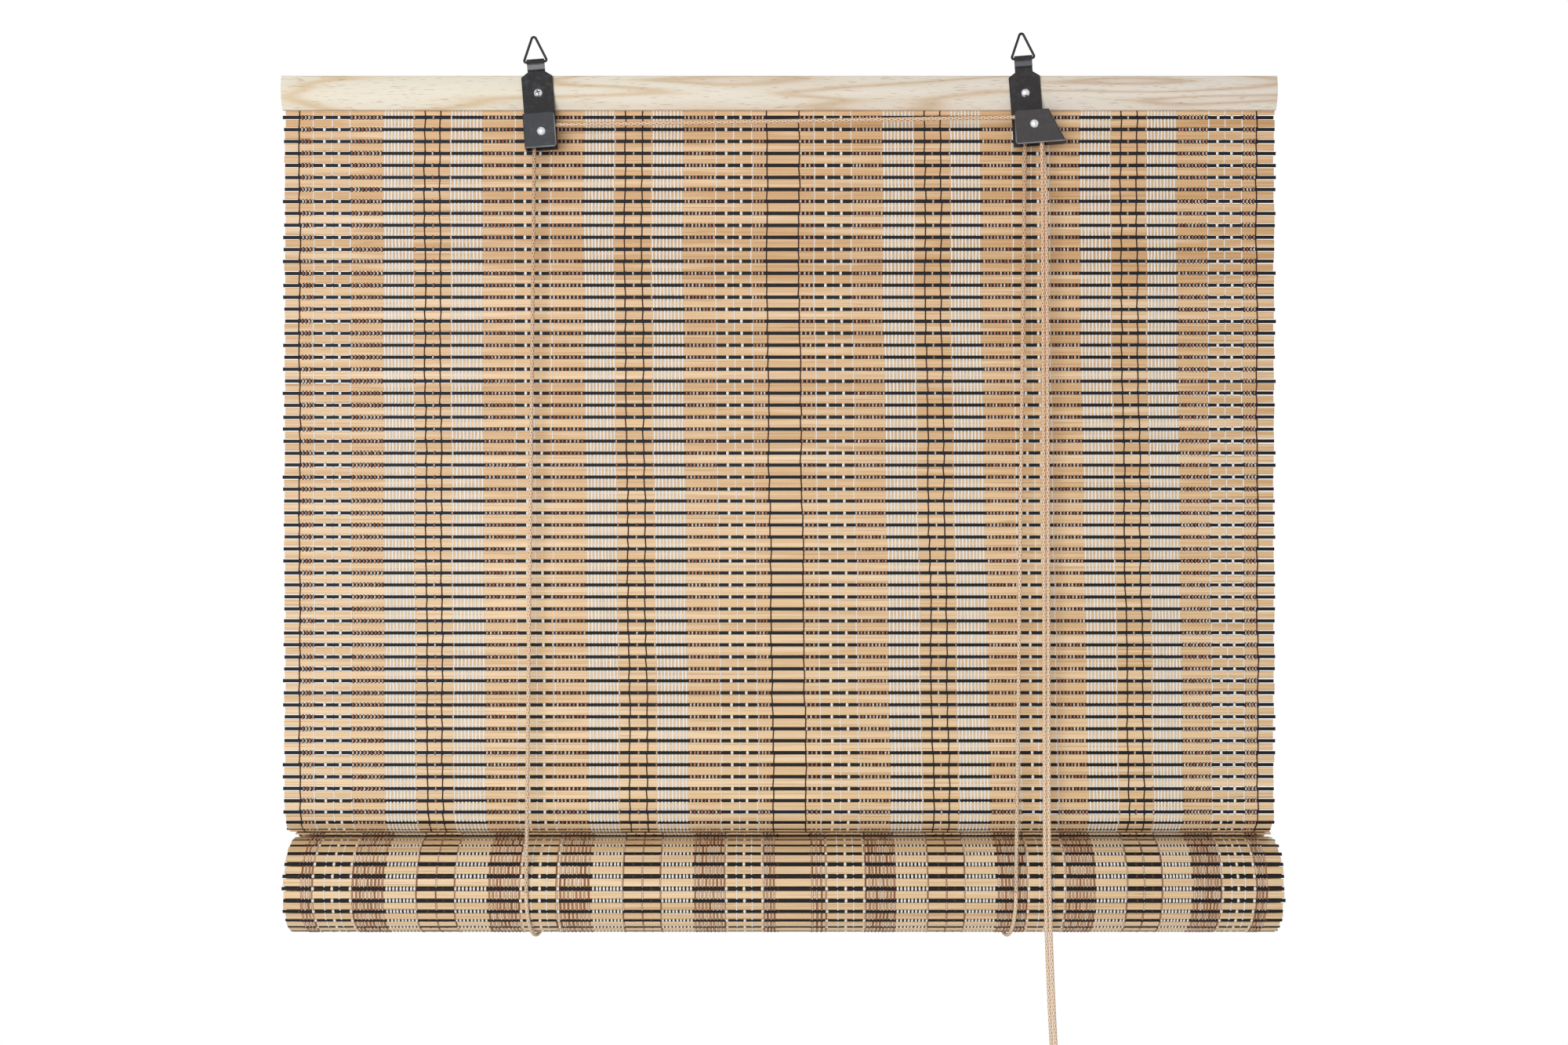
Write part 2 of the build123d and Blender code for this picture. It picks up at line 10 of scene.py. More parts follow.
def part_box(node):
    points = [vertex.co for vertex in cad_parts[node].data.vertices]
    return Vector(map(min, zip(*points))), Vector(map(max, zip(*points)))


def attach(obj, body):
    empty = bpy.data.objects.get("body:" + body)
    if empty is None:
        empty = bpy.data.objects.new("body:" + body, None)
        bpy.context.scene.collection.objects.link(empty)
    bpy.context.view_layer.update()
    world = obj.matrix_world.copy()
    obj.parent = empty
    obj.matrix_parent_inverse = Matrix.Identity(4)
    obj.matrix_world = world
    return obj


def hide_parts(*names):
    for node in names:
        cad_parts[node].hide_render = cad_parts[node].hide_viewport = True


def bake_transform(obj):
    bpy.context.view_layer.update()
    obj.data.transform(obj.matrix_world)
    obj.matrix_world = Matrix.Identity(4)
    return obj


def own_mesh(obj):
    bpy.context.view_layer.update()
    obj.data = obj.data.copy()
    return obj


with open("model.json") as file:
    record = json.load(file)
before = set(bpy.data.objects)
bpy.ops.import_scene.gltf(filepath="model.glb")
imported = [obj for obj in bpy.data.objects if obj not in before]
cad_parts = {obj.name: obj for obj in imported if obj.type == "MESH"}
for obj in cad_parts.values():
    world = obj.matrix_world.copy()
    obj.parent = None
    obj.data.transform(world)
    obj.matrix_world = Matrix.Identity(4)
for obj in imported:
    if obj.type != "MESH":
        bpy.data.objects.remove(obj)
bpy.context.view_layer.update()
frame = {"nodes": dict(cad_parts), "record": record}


# Studio
# A plain white studio: the camera stands level in front of the blind, a wide soft lamp stands
# to its left, a second one lights the back, and a pale floor lies far below the hanging cords.
scene = bpy.context.scene
scene.view_settings.view_transform = "Standard"


def in_scene(name, data):
    """A new object, linked into the scene."""
    made = bpy.data.objects.new(name, data)
    scene.collection.objects.link(made)
    return made


camera = in_scene("camera", bpy.data.cameras.new("camera"))
camera.data.sensor_width = 36.0
camera.data.lens = 41.24
camera.location = (0.0038, -1.4387, -0.389)
camera.rotation_euler = (math.radians(90), 0, 0)
scene.camera = camera
blind_middle = Vector((0, 0, -0.42))


def soft_lamp(name, place, size, power):
    """A square lamp that faces the middle of the blind."""
    lamp = in_scene(name, bpy.data.lights.new(name, "AREA"))
    lamp.data.size = size
    lamp.data.energy = power
    lamp.location = place
    lamp.rotation_euler = (blind_middle - Vector(place)).to_track_quat("-Z", "Y").to_euler()


soft_lamp("key_lamp", (-0.75, -2.35, -0.22), size=1.6, power=38.5)
soft_lamp("back_lamp", (1.6, 2.2, 0.9), size=1.6, power=24)


def add_node(tree, kind, inputs=None, **settings):
    """A node with its settings; an input's value is a number, a colour or another socket."""
    made = tree.nodes.new(kind)
    for name, value in settings.items():
        setattr(made, name, value)
    for socket, value in (inputs or {}).items():
        if isinstance(value, bpy.types.NodeSocket):
            tree.links.new(value, made.inputs[socket])
        else:
            made.inputs[socket].default_value = value
    return made


def maths(tree, operation, first, second=0.0):
    return add_node(tree, "ShaderNodeMath", {0: first, 1: second}, operation=operation).outputs[0]


def times(tree, first, second):
    return maths(tree, "MULTIPLY", first, second)


def seen_directly(tree):
    """1 where the camera looks straight at it, in a mirror or through glass."""
    rays = add_node(tree, "ShaderNodeLightPath").outputs
    first = maths(tree, "MAXIMUM", rays["Is Camera Ray"], rays["Is Glossy Ray"])
    return maths(tree, "MAXIMUM", first, rays["Is Transmission Ray"])


world = bpy.data.worlds.new("white_studio")
scene.world = world
world.use_nodes = True
sky = world.node_tree
sky_strength = add_node(sky, "ShaderNodeMapRange",
                        {"Value": seen_directly(sky), "To Min": 0.35, "To Max": 1.0})
sky.nodes["Background"].inputs["Color"].default_value = (1, 1, 1, 1)
sky.links.new(sky_strength.outputs[0], sky.nodes["Background"].inputs["Strength"])


def new_finish(name, roughness=0.5, metallic=0.0):
    """An empty material with its shader."""
    material = bpy.data.materials.new(name)
    material.use_nodes = True
    shader = material.node_tree.nodes["Principled BSDF"]
    shader.inputs["Roughness"].default_value = roughness
    shader.inputs["Metallic"].default_value = metallic
    return material, material.node_tree, shader


def paint(shader, **patterns):
    """Links patterns to the shader's inputs, each named as in base_color."""
    for name, pattern in patterns.items():
        shader.id_data.links.new(pattern, shader.inputs[name.replace("_", " ").title()])


def own_place(tree):
    return add_node(tree, "ShaderNodeTexCoord").outputs["Object"]


def stretched(tree, scale, turn=(0, 0, 0), place=(0, 0, 0)):
    """The piece's own coordinates, scaled so that a pattern runs long one way."""
    return add_node(tree, "ShaderNodeMapping",
                    {"Vector": own_place(tree), "Scale": scale, "Rotation": turn,
                     "Location": place}).outputs[0]


def noise(tree, where, detail=2.0, rough=0.5):
    return add_node(tree, "ShaderNodeTexNoise",
                    {"Vector": where, "Scale": 1.0, "Detail": detail,
                     "Roughness": rough}).outputs["Fac"]


def ramp(tree, factor, *stops):
    """Colours over a 0 to 1 factor; each stop is (place, colour)."""
    made = add_node(tree, "ShaderNodeValToRGB", {"Fac": factor})
    marks = made.color_ramp.elements
    while len(marks) < len(stops):
        marks.new(1.0)
    for mark, (place, colour) in zip(marks, stops):
        mark.position, mark.color = place, colour
    return made.outputs["Color"]


def grey(value):
    return value, value, value, 1.0


floor_finish, tree, shader = new_finish("studio_floor", roughness=0.9)
speckle = noise(tree, stretched(tree, (6, 6, 6)), detail=3.0)
shader.inputs["Emission Color"].default_value = (1, 1, 1, 1)
paint(shader, base_color=ramp(tree, speckle, (0.3, grey(0.86)), (0.7, grey(0.9))),
      emission_strength=times(tree, seen_directly(tree), 0.34))
floor_height, floor_radius = -2.0, 2.6
ground = bmesh.new()
bmesh.ops.create_circle(ground, cap_ends=True, segments=96, radius=floor_radius,
                        matrix=Matrix.Translation((0, 0, floor_height)))
floor_mesh = bpy.data.meshes.new("floor")
ground.to_mesh(floor_mesh)
ground.free()
floor_mesh.materials.append(floor_finish)
in_scene("floor", floor_mesh)


# Headrail
# A planed batten of pale wood with a bowed front, left unpainted. Its grain runs along it in
# long flames, more yellow at the left end and greyer at the right, with fine dark pores.
def tone(red, green, blue):
    """A colour given in screen values, 0 to 255."""
    def linear(value):
        value /= 255
        return value / 12.92 if value <= 0.04045 else ((value + 0.055) / 1.055) ** 2.4
    return linear(red), linear(green), linear(blue), 1.0


def mix(tree, factor, first, second):
    return add_node(tree, "ShaderNodeMix", {0: factor, 6: first, 7: second},
                    data_type="RGBA").outputs[2]


def bump(tree, height, strength, distance):
    return add_node(tree, "ShaderNodeBump", {"Height": height, "Strength": strength,
                                             "Distance": distance}).outputs[0]


def axis_of(tree, where, axis):
    return add_node(tree, "ShaderNodeSeparateXYZ", {0: where}).outputs[axis]


def share(tree, value, start, end):
    """0 where a value is at its start or before it, 1 at its end or past it."""
    return add_node(tree, "ShaderNodeMapRange",
                    {"Value": value, "From Min": start, "From Max": end}).outputs[0]


wood, tree, shader = new_finish("headrail_wood", roughness=0.55)
growth = noise(tree, stretched(tree, (3.2, 16, 42), place=(0.35, 0, 0.2)), detail=1.5, rough=0.4)
rings = maths(tree, "SINE", times(tree, growth, 44.0))
flame = share(tree, rings, -1.0, 1.0)
yellow_end = ramp(tree, flame, (0.0, tone(239, 231, 213)), (0.6, tone(236, 226, 205)),
                  (0.86, tone(231, 214, 187)), (1.0, tone(222, 200, 166)))
grey_end = ramp(tree, flame, (0.0, tone(236, 227, 214)), (0.6, tone(232, 221, 206)),
                (0.86, tone(225, 208, 189)), (1.0, tone(212, 190, 167)))
board = mix(tree, share(tree, axis_of(tree, own_place(tree), "X"), -0.3, 0.3), yellow_end, grey_end)
drift = noise(tree, stretched(tree, (3.5, 30, 150)), detail=4.0, rough=0.6)
board = mix(tree, ramp(tree, drift, (0.52, grey(0)), (0.78, grey(0.4))), board, tone(224, 204, 172))
pores = noise(tree, stretched(tree, (95, 700, 1500)), detail=1.0)
board = mix(tree, ramp(tree, pores, (0.62, grey(0)), (0.72, grey(0.5))), board, tone(160, 122, 84))
fibres = noise(tree, stretched(tree, (12, 900, 900)), detail=3.0)
paint(shader, base_color=board, normal=bump(tree, fibres, 0.25, 0.0004))
for name in ("headrail", "bottom_rail"):
    frame["nodes"][name].data.materials[0] = wood


# Brackets
# Two housings folded from blackened sheet steel: base plate, side wall, cover and a rolled
# knuckle at the top. The knuckle's tail carries a painted highlight broken by scratches, and the
# cover's lower and inner edges carry a painted highlight that is patchy like wear.
mm = 0.001
lean_across, lean_up = (0.9972, 0, 0.0750), (-0.0750, 0, 0.9972)
cover_front_y = -11.12 * mm


def near(tree, value, place, width):
    """1 close to a place and 0 further than a width from it."""
    off = maths(tree, "ABSOLUTE", maths(tree, "SUBTRACT", value, place))
    return share(tree, off, width, 0.6 * width)


def blackened_steel(name, plate, cover, mottle_and_highlight, screw, tail_rise, foot_drop, rim_reach):
    """Gunmetal with a faint mottle, lighter on the cover; a painted highlight on the tail, and on the rims
    a painted highlight with some wear.
    """
    material, tree, shader = new_finish(name)
    shader.inputs["Specular IOR Level"].default_value = 0.22
    own = own_place(tree)
    from_screw = add_node(tree, "ShaderNodeVectorMath", {0: own, 1: screw}, operation="SUBTRACT")
    up, across = (add_node(tree, "ShaderNodeVectorMath", {0: from_screw.outputs[0], 1: way},
                           operation="DOT_PRODUCT").outputs["Value"]
                  for way in (lean_up, lean_across))
    depth = axis_of(tree, own, "Y")
    mottle = noise(tree, stretched(tree, (210, 210, 210)), detail=4.0, rough=0.65)
    cloud = noise(tree, stretched(tree, (45, 45, 45)), detail=3.0)
    on_cover = maths(tree, "LESS_THAN", depth, cover_front_y + 0.9 * mm)
    sheet = mix(tree, on_cover, plate, cover)
    paler = ramp(tree, mottle, (0.46, grey(0)), (0.8, grey(0.34)))
    paler = times(tree, paler, ramp(tree, cloud, (0.3, grey(0.2)), (0.7, grey(1))))
    sheet = mix(tree, paler, sheet, mottle_and_highlight)
    scratch = noise(tree, stretched(tree, (260, 900, 2600), turn=(0, math.radians(4.3), 0)),
                    detail=3.0)
    # Painted highlight along the knuckle's curled tail, broken up by scratches.
    scratched_tail_highlight = times(tree, near(tree, up, tail_rise, 2.6 * mm),
                        ramp(tree, scratch, (0.3, grey(0.55)), (0.62, grey(1))))
    # Painted highlight along the cover's lower edge and its edge toward the middle, partly wear, in
    # patches.
    rims = maths(tree, "MAXIMUM", near(tree, up, foot_drop, 0.75 * mm),
                 near(tree, across, rim_reach, 0.5 * mm))
    rim_highlight_and_wear = times(tree, times(tree, rims, on_cover),
                        ramp(tree, cloud, (0.35, grey(0.35)), (0.65, grey(0.9))))
    sheet = mix(tree, scratched_tail_highlight, sheet, mottle_and_highlight)
    paint(shader, base_color=mix(tree, rim_highlight_and_wear, sheet, tone(150, 150, 152)),
          roughness=ramp(tree, mottle, (0.3, grey(0.46)), (0.7, grey(0.62))),
          normal=bump(tree, mottle, 0.15, 0.0003))
    return material


frame["nodes"]["left_bracket"].data.materials[0] = blackened_steel(
    "left_black_steel", tone(22, 22, 24), tone(57, 58, 62), tone(138, 139, 142),
    screw=(-193.4 * mm, 0, -44.5 * mm), tail_rise=20.6 * mm, foot_drop=-46.0 * mm, rim_reach=12.7 * mm)
frame["nodes"]["right_bracket"].data.materials[0] = blackened_steel(
    "right_black_steel", tone(42, 38, 38), tone(68, 64, 66), tone(106, 109, 117),
    screw=(197.4 * mm, 0, -44.5 * mm), tail_rise=23.4 * mm, foot_drop=-42.7 * mm, rim_reach=-12.0 * mm)


# Hanging rings
# Two triangles of black enamelled steel wire, butt-welded, each turning in a bracket's knuckle.
# The enamel is thin and slightly uneven, so it is duller where it has been handled.
wire, tree, shader = new_finish("ring_enamel")
shader.inputs["Specular IOR Level"].default_value = 0.3
enamel = noise(tree, stretched(tree, (240, 240, 240)), detail=3.0)
paint(shader, base_color=ramp(tree, enamel, (0.3, tone(16, 16, 18)), (0.75, tone(32, 32, 35))),
      roughness=ramp(tree, enamel, (0.3, grey(0.3)), (0.7, grey(0.5))))
for name in ("left_ring", "right_ring"):
    frame["nodes"][name].data.materials[0] = wire


# Screws, rivets and staples
# Bright plated steel: a round-head screw through each base plate, a headed rivet as each
# pulley's axle, and the staples that hold the mat and the lift cords behind the headrail.
def plated_steel(name):
    material, tree, shader = new_finish(name, metallic=1.0)
    haze = noise(tree, stretched(tree, (420, 420, 420)), detail=3.0)
    plate = ramp(tree, haze, (0.3, tone(196, 198, 202)), (0.7, tone(226, 227, 229)))
    paint(shader, roughness=ramp(tree, haze, (0.3, grey(0.2)), (0.7, grey(0.34))))
    return material, tree, shader, plate


plated, tree, shader, plate = plated_steel("bright_steel")
paint(shader, base_color=plate)
for name in ("left_axle_rivet", "right_axle_rivet", "right_screw", "mat_staples", "cord_staples"):
    frame["nodes"][name].data.materials[0] = plated

# The left screw's head has a cross recess, bumped in and darkened with painted shade.
crossed, tree, shader, plate = plated_steel("crossed_screw_steel")
head_low, head_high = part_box("left_screw")
head_x, head_z = (head_low.x + head_high.x) / 2, (head_low.z + head_high.z) / 2
recess_turn, recess_half_width, recess_reach = math.radians(24), 0.45 * mm, 2.0 * mm
turned = add_node(tree, "ShaderNodeMapping",
                  {"Vector": own_place(tree), "Location": (-head_x, 0, -head_z)}).outputs[0]
turned = add_node(tree, "ShaderNodeMapping",
                  {"Vector": turned, "Rotation": (0, recess_turn, 0)}).outputs[0]
across = maths(tree, "ABSOLUTE", axis_of(tree, turned, "X"))
upward = maths(tree, "ABSOLUTE", axis_of(tree, turned, "Z"))
in_width = maths(tree, "LESS_THAN", maths(tree, "MINIMUM", across, upward), recess_half_width)
in_reach = maths(tree, "LESS_THAN", maths(tree, "MAXIMUM", across, upward), recess_reach)
arm = times(tree, in_width, in_reach)
paint(shader, base_color=mix(tree, arm, plate, tone(70, 68, 66)),
      normal=bump(tree, maths(tree, "SUBTRACT", 1.0, arm), 0.8, 0.0006))
frame["nodes"]["left_screw"].data.materials[0] = crossed


# Pulleys and lock roller
# Turned nylon wheels for the cords, off-white with shinier patches, and the lock's toothed
# brass roller. They sit inside the brackets, so only slivers of them show.
nylon, tree, shader = new_finish("pulley_nylon")
swirl = noise(tree, stretched(tree, (300, 90, 300)), detail=2.0)
paint(shader, base_color=ramp(tree, swirl, (0.3, tone(206, 202, 190)), (0.7, tone(226, 223, 213))),
      roughness=ramp(tree, swirl, (0.3, grey(0.35)), (0.7, grey(0.5))))
for name in ("left_pulley", "right_pulley"):
    frame["nodes"][name].data.materials[0] = nylon
brass, tree, shader = new_finish("roller_brass", metallic=1.0)
tarnish = noise(tree, stretched(tree, (350, 350, 350)), detail=3.0)
paint(shader, base_color=ramp(tree, tarnish, (0.3, tone(150, 116, 60)), (0.7, tone(200, 164, 92))),
      roughness=ramp(tree, tarnish, (0.3, grey(0.3)), (0.7, grey(0.5))))
frame["nodes"]["lock_roller"].data.materials[0] = brass


# Mat: slats and sticks
# Split bamboo slats, planed flat, alternate with thin rounded sticks stained blue-black. The mat
# is stapled behind the headrail, hangs straight, folds over the roll and is wound up inside it.
blind_width = 800 * mm
bar_pitch, slat_height, stick_height = 9.68 * mm, 5.6 * mm, 2.7 * mm
slat_thickness, stick_thickness = 1.3 * mm, 1.2 * mm
mat_y, first_stick_z = 12.18 * mm, -61.9 * mm
bars_behind_rail, bars_at_top, stick_count = 2, 6, 58
fold_lead, fold_pairs = 4.4 * mm, 8
fold_top_z, fold_start_z = -619.56 * mm, -615.16 * mm
fold_radius, over_radius = 22 * mm, 41.8037 * mm
roll_y, roll_z, roll_shift = 34.18 * mm, -683.3637 * mm, 3.5 * mm
roll_radius, roll_turn_pitch, roll_dip = 39.6 * mm, 4 * mm, 0.85
roll_core_radius = 18 * mm


def hanging(first, last):
    """Slats and sticks of the flat part: (kind, y, z, turn), kind 0 a slat and 1 a stick."""
    bars = []
    for number in range(first, last + 1):
        stick_z = first_stick_z - number * bar_pitch
        bars.append((0, mat_y, stick_z + bar_pitch / 2, 0.0))
        bars.append((1, mat_y, stick_z, 0.0))
    return bars


top_bars = hanging(-bars_behind_rail, bars_at_top - 1)
wound_bars = hanging(bars_at_top, stick_count - 1)


def over_the_roll(travel):
    """Place (y, z) and turn of the mat this far down from where it starts to fold back."""
    quarter = fold_radius * math.pi / 2
    if travel < fold_lead:
        return mat_y, fold_start_z - travel, 0.0
    if travel < fold_lead + quarter:
        angle = (travel - fold_lead) / fold_radius
        return (roll_y - fold_radius * math.cos(angle),
                fold_top_z - fold_radius * math.sin(angle), angle)
    angle = (travel - fold_lead - quarter) / over_radius
    return (roll_y + over_radius * math.sin(angle), roll_z + over_radius * math.cos(angle),
            math.pi / 2 - angle)


fold_bars = []
for pair in range(fold_pairs):
    slat_travel = slat_height / 2 + pair * bar_pitch
    fold_bars.append((0, *over_the_roll(slat_travel)))
    fold_bars.append((1, *over_the_roll(slat_travel + bar_pitch / 2)))


def wound_radius(angle):
    """Radius of the mat's middle after winding by this angle: one turn, then a spiral inside it."""
    full = 2 * math.pi
    if angle < roll_dip * full:
        return roll_radius
    if angle < full:
        return roll_radius - roll_turn_pitch * (angle / full - roll_dip) / (1 - roll_dip)
    return roll_radius - roll_turn_pitch * angle / full


def on_the_roll(angle):
    radius = wound_radius(angle)
    return roll_y + radius * math.sin(angle), roll_z + radius * math.cos(angle), math.pi / 2 - angle


roll_bars = []
wound = 0.0
while wound_radius(wound) > roll_core_radius:
    step = bar_pitch / wound_radius(wound)
    roll_bars.append((0, *on_the_roll(wound)))
    roll_bars.append((1, *on_the_roll(wound + step / 2)))
    wound += step


def new_tree(name, *inputs):
    """An empty node tree with named inputs; each is (name, socket kind)."""
    tree = bpy.data.node_groups.new(name, "GeometryNodeTree")
    tree.interface.new_socket("Geometry", in_out="INPUT", socket_type="NodeSocketGeometry")
    for label, kind in inputs:
        tree.interface.new_socket(label, in_out="INPUT", socket_type="NodeSocket" + kind)
    tree.interface.new_socket("Geometry", in_out="OUTPUT", socket_type="NodeSocketGeometry")
    return tree, add_node(tree, "NodeGroupInput").outputs


def chance(tree, low, high, seed):
    """A different number for each point, between two limits."""
    return add_node(tree, "FunctionNodeRandomValue", {2: low, 3: high, 8: seed},
                    data_type="FLOAT").outputs[1]


def either_way(tree, limit, seed):
    """A different number for each point, up to a limit either way."""
    return chance(tree, times(tree, limit, -1.0), limit, seed)


def later_seed(tree, seed, step):
    return add_node(tree, "FunctionNodeIntegerMath", {0: seed, 1: step}).outputs[0]


def shape_of(tree, unit):
    return add_node(tree, "GeometryNodeObjectInfo", {"Object": unit}).outputs["Geometry"]


def point_value(tree, name):
    return add_node(tree, "GeometryNodeInputNamedAttribute", {"Name": name},
                    data_type="FLOAT").outputs[0]


def vector(tree, x, y, z):
    return add_node(tree, "ShaderNodeCombineXYZ", {0: x, 1: y, 2: z}).outputs[0]


def end_tree(tree, geometry, finish):
    solid = add_node(tree, "GeometryNodeRealizeInstances", {"Geometry": geometry}).outputs[0]
    dressed = add_node(tree, "GeometryNodeSetMaterial", {"Geometry": solid, "Material": finish})
    tree.links.new(dressed.outputs[0], add_node(tree, "NodeGroupOutput").inputs[0])


bar_tree, given = new_tree("lay_bars", ("Bar", "Object"), ("Finish", "Material"),
                           ("End slack", "Float"), ("Tilt", "Float"), ("Seed", "Int"))
slack = either_way(bar_tree, given["End slack"], given["Seed"])
laid = add_node(bar_tree, "GeometryNodeSetPosition",
                {"Geometry": given["Geometry"], "Offset": vector(bar_tree, slack, 0.0, 0.0)})
leaning = either_way(bar_tree, given["Tilt"], later_seed(bar_tree, given["Seed"], 1))
bars = add_node(bar_tree, "GeometryNodeInstanceOnPoints",
                {"Points": laid.outputs[0], "Instance": shape_of(bar_tree, given["Bar"]),
                 "Rotation": vector(bar_tree, point_value(bar_tree, "turn"), leaning, 0.0)})
shade = chance(bar_tree, 0.0, 1.0, later_seed(bar_tree, given["Seed"], 2))
shaded = add_node(bar_tree, "GeometryNodeStoreNamedAttribute",
                  {"Geometry": bars.outputs[0], "Name": "shade", "Value": shade},
                  data_type="FLOAT", domain="INSTANCE")
end_tree(bar_tree, shaded.outputs[0], given["Finish"])


def unit_piece(name, verts, faces):
    """The one shape that a tree repeats. It is taken away once the mat is made."""
    mesh = bpy.data.meshes.new(name)
    mesh.from_pydata(verts, [], faces)
    edit = bmesh.new()
    edit.from_mesh(mesh)
    bmesh.ops.recalc_face_normals(edit, faces=edit.faces)
    edit.to_mesh(mesh)
    edit.free()
    return in_scene(name, mesh)


def bar_of(name, thickness, corner, stations):
    """A bar along X with chamfered edges, as a row of stations of (x, half height)."""
    half_y = thickness / 2
    verts = []
    for x, half_z in stations:
        verts += [(x, y, z) for y, z in (
            (half_y, half_z - corner), (half_y - corner / 2, half_z),
            (corner / 2 - half_y, half_z), (-half_y, half_z - corner),
            (-half_y, corner - half_z), (corner / 2 - half_y, -half_z),
            (half_y - corner / 2, -half_z), (half_y, corner - half_z))]
    faces = [(8 * row + k, 8 * row + 8 + k, 8 * row + 8 + (k + 1) % 8, 8 * row + (k + 1) % 8)
             for row in range(len(stations) - 1) for k in range(8)]
    faces += [tuple(range(8)), tuple(reversed(range(len(verts) - 8, len(verts))))]
    return unit_piece(name, verts, faces)


# A slat is fuller along its middle, so it comes close to the sticks there.
slat_corner, stick_corner, slat_inset = 0.4 * mm, 0.5 * mm, 0.8 * mm
slat_end, stick_end = blind_width / 2 - slat_inset, blind_width / 2
end_half = slat_height / 2 + 0.08 * mm
full_half = bar_pitch / 2 - stick_height / 2 - 0.1 * mm
full_from, full_to = -185 * mm, 275 * mm
left_taper, right_taper = -300 * mm, 345 * mm
slat_unit = bar_of("slat_unit", slat_thickness, slat_corner,
                   ((-slat_end, end_half), (left_taper, 0.5 * end_half + 0.5 * full_half),
                    (full_from, full_half), (full_to, full_half),
                    (right_taper, 0.6 * end_half + 0.4 * full_half), (slat_end, end_half)))
rolled_end_half, rolled_half = slat_height / 2, slat_height / 2 + 0.2 * mm
rolled_slat_unit = bar_of("rolled_slat_unit", slat_thickness, slat_corner,
                          ((-slat_end, rolled_end_half), (-0.5 * slat_end, rolled_half),
                           (0.5 * slat_end, rolled_half), (slat_end, rolled_end_half)))
stick_unit = bar_of("stick_unit", stick_thickness, stick_corner,
                    ((-stick_end, stick_height / 2), (stick_end, stick_height / 2)))


def points_mesh(places, **values):
    """Loose points with named values, for a tree to stand shapes on."""
    mesh = bpy.data.meshes.new("places")
    mesh.from_pydata(places, [], [])
    for name, row in values.items():
        mesh.attributes.new(name, "FLOAT", "POINT").data.foreach_set("value", row)
    return mesh


def grown(name, tree, source, **settings):
    """Runs a tree on a mesh of points and keeps the result as a plain mesh."""
    holder = in_scene(name, source)
    modifier = holder.modifiers.new("grow", "NODES")
    modifier.node_group = tree
    for socket in tree.interface.items_tree:
        label = socket.name.lower().replace(" ", "_")
        if socket.in_out == "INPUT" and label in settings:
            modifier[socket.identifier] = settings[label]
    bpy.context.view_layer.update()
    graph = bpy.context.evaluated_depsgraph_get()
    mesh = bpy.data.meshes.new_from_object(holder.evaluated_get(graph), depsgraph=graph,
                                           preserve_all_data_layers=True)
    holder.modifiers.remove(modifier)
    holder.data = mesh
    mesh.name = name
    return holder


def attribute(tree, name):
    return add_node(tree, "ShaderNodeAttribute", attribute_name=name).outputs["Fac"]


bamboo, tree, shader = new_finish("bamboo_slat", roughness=0.48)
fibre = noise(tree, stretched(tree, (6, 500, 1300)), detail=3.0, rough=0.65)
patch = noise(tree, stretched(tree, (11, 60, 210)), detail=2.0)
stain = noise(tree, stretched(tree, (26, 60, 330), place=(3.1, 0, 1.7)), detail=2.0)
# Painted light: the slats are painted paler and yellower towards the bottom, as though lit more there.
lower = share(tree, axis_of(tree, own_place(tree), "Z"), -0.10, -0.62)
slat_tone = attribute(tree, "shade")
upper_slat = ramp(tree, slat_tone, (0.0, tone(209, 163, 110)), (0.5, tone(221, 177, 126)),
                  (1.0, tone(232, 193, 146)))
lower_slat = ramp(tree, slat_tone, (0.0, tone(228, 191, 142)), (0.5, tone(238, 204, 157)),
                  (1.0, tone(245, 215, 174)))
slat = mix(tree, lower, upper_slat, lower_slat)
slat = mix(tree, ramp(tree, patch, (0.48, grey(0)), (0.72, grey(0.65))), slat, tone(249, 224, 188))
slat = mix(tree, ramp(tree, fibre, (0.48, grey(0)), (0.72, grey(0.75))), slat, tone(168, 120, 76))
slat = mix(tree, ramp(tree, stain, (0.68, grey(0)), (0.78, grey(0.45))), slat, tone(164, 132, 84))
paint(shader, base_color=slat, normal=bump(tree, fibre, 0.3, 0.0003))

stained, tree, shader = new_finish("stained_stick", roughness=0.55)
shader.inputs["Specular IOR Level"].default_value = 0.18
rub = noise(tree, stretched(tree, (14, 700, 700)), detail=3.0)
dye = ramp(tree, attribute(tree, "shade"), (0.0, tone(10, 11, 14)), (1.0, tone(20, 21, 28)))
rubbed = ramp(tree, rub, (0.5, grey(0)), (0.8, grey(0.35)))
paint(shader, base_color=mix(tree, rubbed, dye, tone(52, 44, 42)), normal=bump(tree, rub, 0.2, 0.0002))

strips = {"top": (top_bars, 0.0, "blind"), "wound": (wound_bars, 0.0, "blind"),
          "fold": (fold_bars, 0.0, "sling"), "roll": (roll_bars, roll_shift, "roll")}
lift = next(joint["range_m"][1] for joint in frame["record"]["behaviour"]["joints"]
            if joint["name"] == "roll_lift")


def fix_strip(piece, strip):
    """The top strip stays, the wound strip closes up under it, the fold and roll travel."""
    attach(piece, strips[strip][2])
    if strip == "wound":
        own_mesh(piece)


for number, (strip, (bars, shift, _)) in enumerate(strips.items()):
    flat_unit = slat_unit if strip in ("top", "wound") else rolled_slat_unit
    for kind, label, unit, finish, end_slack in ((0, "slats", flat_unit, bamboo, 0.7 * mm),
                                                 (1, "sticks", stick_unit, stained, 1.1 * mm)):
        chosen = [bar for bar in bars if bar[0] == kind]
        piece = grown(f"{strip}_{label}", bar_tree,
                      points_mesh([(shift, y, z) for _, y, z, _ in chosen],
                                  turn=[turn for *_, turn in chosen]),
                      bar=unit, finish=finish, end_slack=end_slack, tilt=0.0004,
                      seed=11 * number + kind)
        fix_strip(piece, strip)
        if kind == 0:
            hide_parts({"fold": "mat_fold", "roll": "mat_roll"}.get(strip, "mat"))


